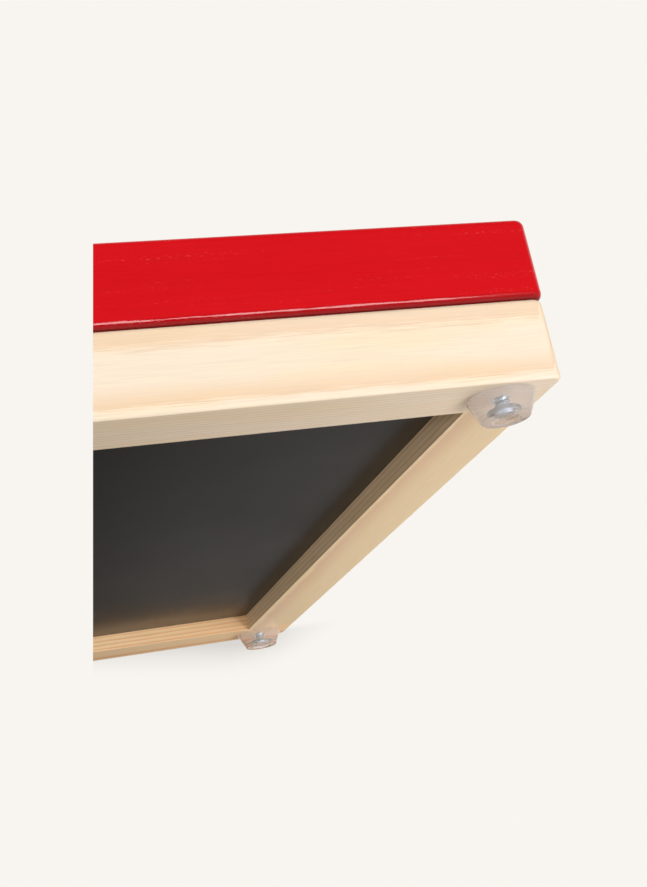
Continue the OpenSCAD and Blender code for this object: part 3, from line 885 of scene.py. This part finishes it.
class SPRINGBOARD_OT_frames(bpy.types.Operator):
    """Finishes of the pine base frame and the red upper frame"""

    bl_idname = "springboard.frames"
    bl_label = "Frames"

    def execute(self, context):
        look, hue = context.scene.springboard_sizes, context.scene.springboard_colours
        # Early wood, late wood, sunny patches and end grain
        cream = ("#F4E4D0", "#EAC7A2", "#F3DEB4", "#E2B67E")
        rosy = ("#F3D9B2", "#DDB291", "#EFD5A4", "#D9AC78")
        tan = ("#FCD9AD", "#E69B5E", "#FACB91", "#DD9D61")
        # Turn, the shift in mm that puts the pith on the axis, bend and colours
        rails = {
            "front_base_rail": (0, (140, 440.1, -48.1), 0.25, cream),
            "back_base_rail": (0, (-410, -170, -60.4), 0.5, tan),
            "left_base_rail": (ALONG_Y, (60, -270, -258), 0.6, rosy),
            "right_base_rail": (ALONG_Y, (-95, 305, -258), 0.6, rosy),
        }
        for name, (turn, shift, bend, tint) in rails.items():
            wood = pine("lacquered pine, " + name, look, turn, shift, bend, tint)
            finish_node(name, wood)
        long_paint = red_paint("red enamel, long rails", hue, 0)
        side_paint = red_paint("red enamel, side rails", hue, ALONG_Y)
        for name in ("front_top_rail", "back_top_rail"):
            finish_node(name, long_paint)
        for name in ("left_top_rail", "right_top_rail"):
            finish_node(name, side_paint)
        return {"FINISHED"}


class SPRINGBOARD_OT_inside(bpy.types.Operator):
    """Finishes of the bottom panel, bearers, dowels and buffers"""

    bl_idname = "springboard.inside"
    bl_label = "Inside"

    def execute(self, context):
        look, hue = context.scene.springboard_sizes, context.scene.springboard_colours
        finish_node("bottom_panel", panel_black("matt black lacquer", hue))
        bare = ("#EFD5AC", "#D9A873", "#EBCD96", "#C9A06C")
        wood = pine("bare pine", look, ALONG_Y, (20, 40, 55), 3.0, bare)
        for i in range(1, BEARERS + 1):
            finish_node(f"spring_bearer_{i}", wood)
        rod = beech("beech rod, along Y", ALONG_Y)
        finish_node("base_corner_dowels", rod)
        finish_node("top_corner_dowels", rod)
        finish_node("frame_dowels", beech("beech rod, upright", 0))
        finish_node("rubber_buffers", rubber("black rubber", "#2A2A2B", 0.7, 3.0))
        return {"FINISHED"}


class SPRINGBOARD_OT_deck(bpy.types.Operator):
    """Finish of the plywood deck and foam strips, and the ribbed mat"""

    bl_idname = "springboard.deck"
    bl_label = "Deck and mat"

    def execute(self, context):
        look = context.scene.springboard_sizes
        finish_node("deck_board", birch_ply("birch plywood", look))
        finish_node("rebound_strips", rubber("grey foam", "#55555A", 0.9, 2.2))
        grid = ribbed_sheet(*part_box("deck_mat"), look)
        mat = skin(
            "ribbed_mat",
            grid,
            rubber("ribbed rubber", "#333336", 0.62, 4.0),
            capped=True,
            sharp=35,
        )
        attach(mat, DECK)
        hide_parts("deck_mat")
        return {"FINISHED"}


class SPRINGBOARD_OT_springs(bpy.types.Operator):
    """The eight compression springs"""

    bl_idname = "springboard.springs"
    bl_label = "Springs"

    def execute(self, context):
        look = context.scene.springboard_sizes
        wire = steel("oiled spring steel", "#8C8F94", 0.3, 2.5)
        for i in range(1, SPRINGS + 1):
            node = f"spring_{i}"
            x, y, low, high = middle_of(node)
            spring = skin(
                f"coil_{node}", coil((x, y), low, high, look), wire, capped=True
            )
            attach(spring, BASE)
            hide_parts(node)
            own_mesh(spring)
        return {"FINISHED"}


class SPRINGBOARD_OT_feet(bpy.types.Operator):
    """The four clear feet and their screws"""

    bl_idname = "springboard.feet"
    bl_label = "Feet"

    def execute(self, context):
        look, hue = context.scene.springboard_sizes, context.scene.springboard_colours
        plastic = soft_pvc("clear soft PVC", hue)
        zinc = steel("zinc-plated steel", "#C8D6DE", 0.3, 1.8)
        screw_low, screw_high = (corner.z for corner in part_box("foot_screws"))
        for corner in ("front_left", "front_right", "back_left", "back_right"):
            x, y, _, top = middle_of(f"foot_{corner}")
            foot = skin(
                f"clear_foot_{corner}",
                moulded_foot((x, y), top, screw_low + look.head_tall, look),
                plastic,
                loop=True,
                sharp=50,
            )
            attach(foot, BASE)
            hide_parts(f"foot_{corner}")
            screw = skin(
                f"pan_screw_{corner}",
                pan_screw((x, y), screw_low, screw_high, look),
                zinc,
                capped=True,
                sharp=40,
            )
            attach(screw, BASE)
            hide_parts("foot_screws")
        return {"FINISHED"}


OPERATORS = (
    SPRINGBOARD_OT_stage,
    SPRINGBOARD_OT_frames,
    SPRINGBOARD_OT_inside,
    SPRINGBOARD_OT_deck,
    SPRINGBOARD_OT_springs,
    SPRINGBOARD_OT_feet,
)


class SPRINGBOARD_PT_panel(bpy.types.Panel):
    """Lists the operators and what they read"""

    bl_idname = "SPRINGBOARD_PT_panel"
    bl_label = "Box springboard"
    bl_space_type = "VIEW_3D"
    bl_region_type = "UI"
    bl_category = "Springboard"

    def draw(self, context):
        for operator in OPERATORS:
            self.layout.operator(operator.bl_idname)
        for pointer in GROUPS:
            group = getattr(context.scene, pointer)
            for key in group.bl_rna.properties.keys():
                if key not in ("rna_type", "name"):
                    self.layout.prop(group, key)


GROUPS = {
    "springboard_sizes": SpringboardSizes,
    "springboard_colours": SpringboardColours,
    "springboard_stage": SpringboardStage,
}


def register():
    """Registers the groups, operators and panel."""
    for cls in (*GROUPS.values(), *OPERATORS, SPRINGBOARD_PT_panel):
        bpy.utils.register_class(cls)
    for pointer, group in GROUPS.items():
        setattr(bpy.types.Scene, pointer, bpy.props.PointerProperty(type=group))


def unregister():
    """Takes them away again."""
    for pointer in GROUPS:
        delattr(bpy.types.Scene, pointer)
    for cls in (SPRINGBOARD_PT_panel, *OPERATORS[::-1], *GROUPS.values()):
        bpy.utils.unregister_class(cls)


def main():
    """Makes everything in order."""
    register()
    for operator in OPERATORS:
        area, name = operator.bl_idname.split(".")
        getattr(getattr(bpy.ops, area), name)()


if __name__ == "__main__":
    main()
